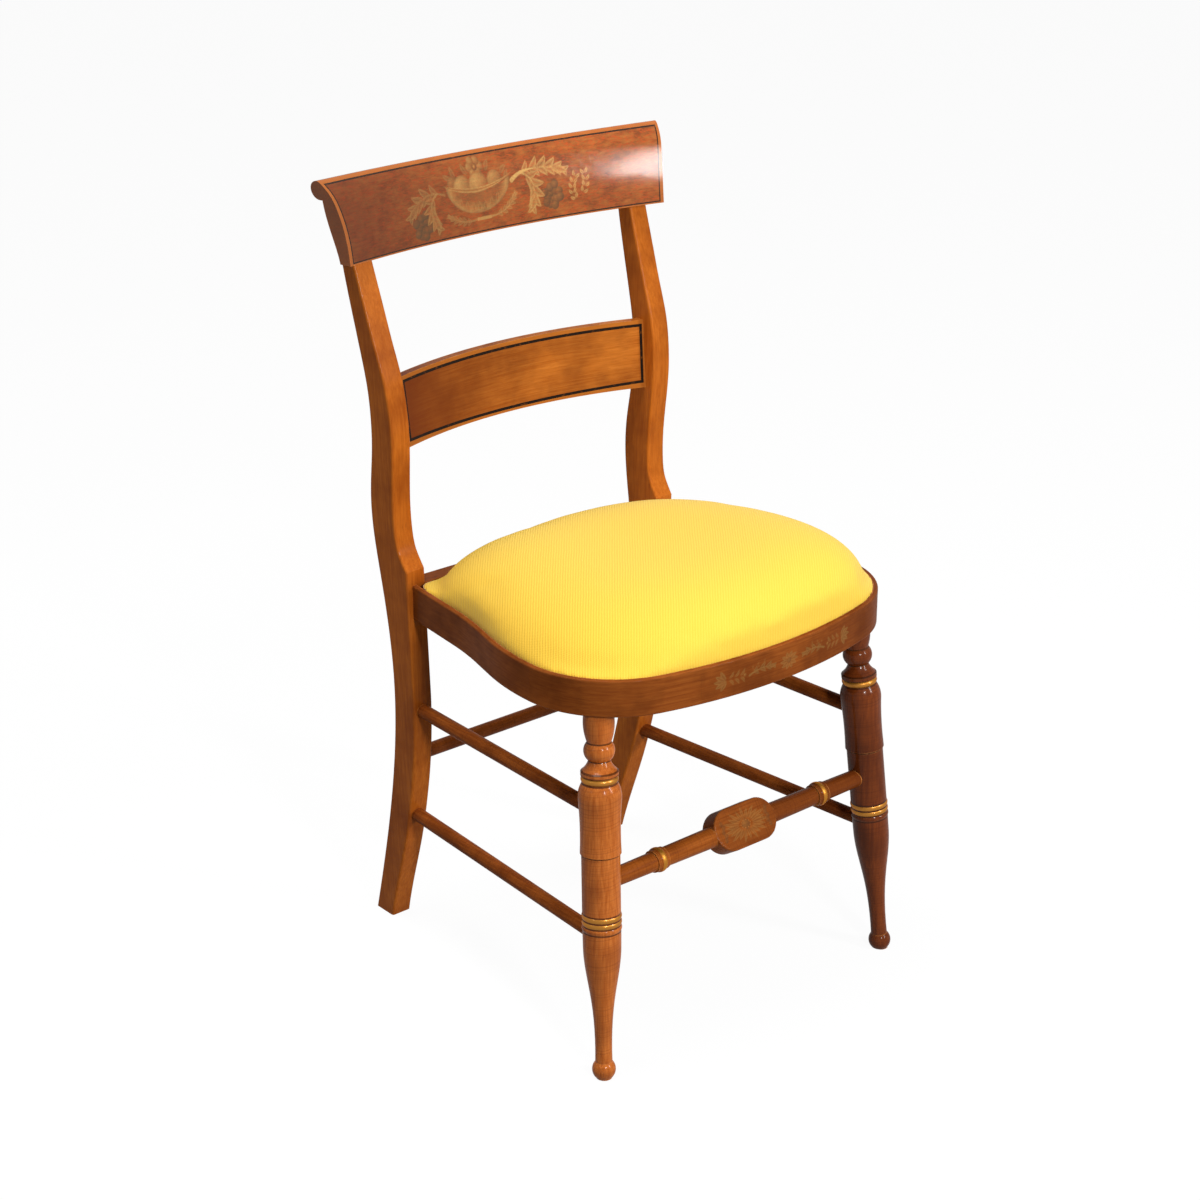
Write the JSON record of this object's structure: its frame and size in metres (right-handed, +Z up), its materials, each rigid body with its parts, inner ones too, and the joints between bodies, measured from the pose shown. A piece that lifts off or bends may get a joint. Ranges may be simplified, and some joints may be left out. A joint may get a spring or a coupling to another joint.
{
  "type": "side chair",
  "caption": "Painted wooden side chair with a rolled crest rail, a bowed seat band, turned front legs and an upholstered slip seat",
  "frame": {"origin": "on the floor, under the middle of the chair's plan", "axes": "+Z up, the seat opens towards -Y, +X is the right side for a viewer in front"},
  "size_m": [0.462, 0.4815, 0.8559],
  "materials": {
    "post_wood": "dark stained and varnished wood",
    "crest_wood": "grained and varnished wood with a bronze stencil",
    "mid_rail_wood": "varnished wood with a black border line",
    "band_wood": "dark varnished wood with a faint bronze stencil",
    "leg_wood": "turned and varnished wood with gilt rings",
    "turned_stretcher_wood": "turned and varnished wood with gilt rings",
    "stretcher_wood": "varnished wood",
    "block_wood": "plain sawn wood",
    "board_wood": "plain plywood",
    "seat_filling": "firm seat filling",
    "seat_fabric": "finely ribbed yellow woven fabric",
    "dust_fabric": "black cambric",
    "tack_steel": "blued steel",
    "screw_steel": "plain steel",
    "dowel_wood": "plain beech"
  },
  "bodies": {
    "root": {"left_rear_post": "post_wood", "right_rear_post": "post_wood", "crest_rail": "crest_wood", "mid_rail": "mid_rail_wood", "seat_band": "band_wood", "back_seat_rail": "band_wood", "left_front_corner_block": "block_wood", "right_front_corner_block": "block_wood", "left_rear_corner_block": "block_wood", "right_rear_corner_block": "block_wood", "left_front_leg": "leg_wood", "right_front_leg": "leg_wood", "front_stretcher": "turned_stretcher_wood", "left_upper_stretcher": "stretcher_wood", "left_lower_stretcher": "stretcher_wood", "right_upper_stretcher": "stretcher_wood", "right_lower_stretcher": "stretcher_wood", "rear_stretcher": "stretcher_wood", "seat_board": "board_wood", "seat_pad": "seat_filling", "seat_cover": "seat_fabric", "dust_cover": "dust_fabric", "upholstery_tacks": "tack_steel", "seat_screws": "screw_steel", "crest_screws": "screw_steel", "band_dowels": "dowel_wood"}
  },
  "joints": []
}
